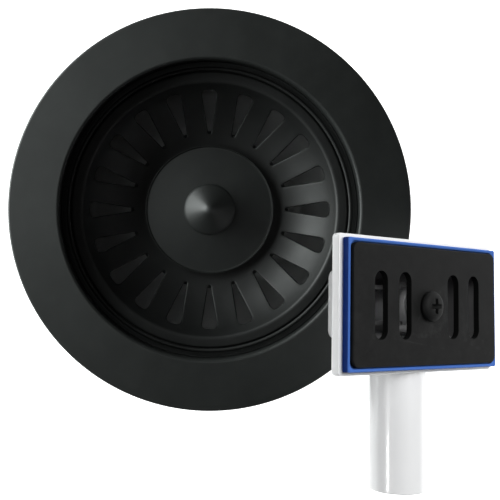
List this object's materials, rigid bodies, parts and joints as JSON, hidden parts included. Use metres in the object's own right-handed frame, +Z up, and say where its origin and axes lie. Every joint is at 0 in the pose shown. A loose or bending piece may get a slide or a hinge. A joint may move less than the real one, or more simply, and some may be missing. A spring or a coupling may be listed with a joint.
{
  "type": "sink strainer waste and overflow set",
  "caption": "Matte black basket strainer waste for a kitchen sink, with a lift-out slotted basket and a separate rectangular overflow head.",
  "frame": {"origin": "centre of the sink seat, on the axis of the waste, in the plane of the flange seal's underside", "axes": "+Z up along the axis of the waste, out of the sink; -Y the way the overflow port points; +X towards the loose overflow head"},
  "size_m": [0.1362, 0.1298, 0.1285],
  "materials": {
    "satin_black": "satin powder coat",
    "bowl_black": "satin powder coat, a little darker",
    "black_plastic": "fine moulded grain",
    "black_rubber": "matte",
    "grey_rubber": "matte",
    "blue_silicone": "soft sheen",
    "white_plastic": "gloss moulding",
    "brass": "turned",
    "steel": "brushed"
  },
  "bodies": {
    "waste": {"flange_cup": "satin_black", "flange_seal": "grey_rubber", "clamp_gasket": "black_rubber", "lower_body": "black_plastic", "screw_washer": "steel", "fixing_screw": "steel", "thread_insert": "brass", "outlet_seal": "grey_rubber", "port_seal": "grey_rubber"},
    "outlet_nut": {"outlet_nut": "black_plastic"},
    "port_nut": {"port_nut": "black_plastic"},
    "catch": {"catch_ring": "steel"},
    "basket": {"basket_shell": "bowl_black", "hub_cap": "bowl_black", "lift_knob": "satin_black", "lift_stem": "steel", "stem_sleeve": "black_plastic", "stopper_holder": "black_plastic", "stopper_seal": "black_rubber", "stem_nut": "brass"},
    "overflow_head": {"overflow_housing": "white_plastic", "overflow_liner": "black_plastic", "overflow_gasket": "blue_silicone", "screw_insert": "brass"},
    "face_plate": {"face_plate": "satin_black"},
    "face_screw": {"face_screw": "satin_black"}
  },
  "joints": [
    {"name": "basket_turn", "type": "hinge", "parent": "waste", "child": "catch", "pos_m": [0, 0, 0], "axis": [0, 0, 1], "continuous": true},
    {"name": "basket_lift", "type": "slide", "parent": "catch", "child": "basket", "axis": [0, 0, 1], "range_m": [0, 0.012]},
    {"name": "outlet_nut_turn", "type": "hinge", "parent": "waste", "child": "outlet_nut", "pos_m": [0, 0, -0.074], "axis": [0, 0, -1], "continuous": true},
    {"name": "port_nut_turn", "type": "hinge", "parent": "waste", "child": "port_nut", "pos_m": [0, -0.0535, -0.0315], "axis": [0, -1, 0], "continuous": true},
    {"name": "overflow_apart", "type": "slide", "parent": "waste", "child": "overflow_head", "axis": [1, 0, 0], "range_m": [0, 0.08]},
    {"name": "plate_off", "type": "slide", "parent": "overflow_head", "child": "face_plate", "axis": [0.6224, 0.0698, 0.7796], "range_m": [0, 0.02]},
    {"name": "face_screw_turn", "type": "hinge", "parent": "face_plate", "child": "face_screw", "pos_m": [0.056, -0.0246, 0.02701], "axis": [0.6224, 0.0698, 0.7796], "continuous": true}
  ]
}
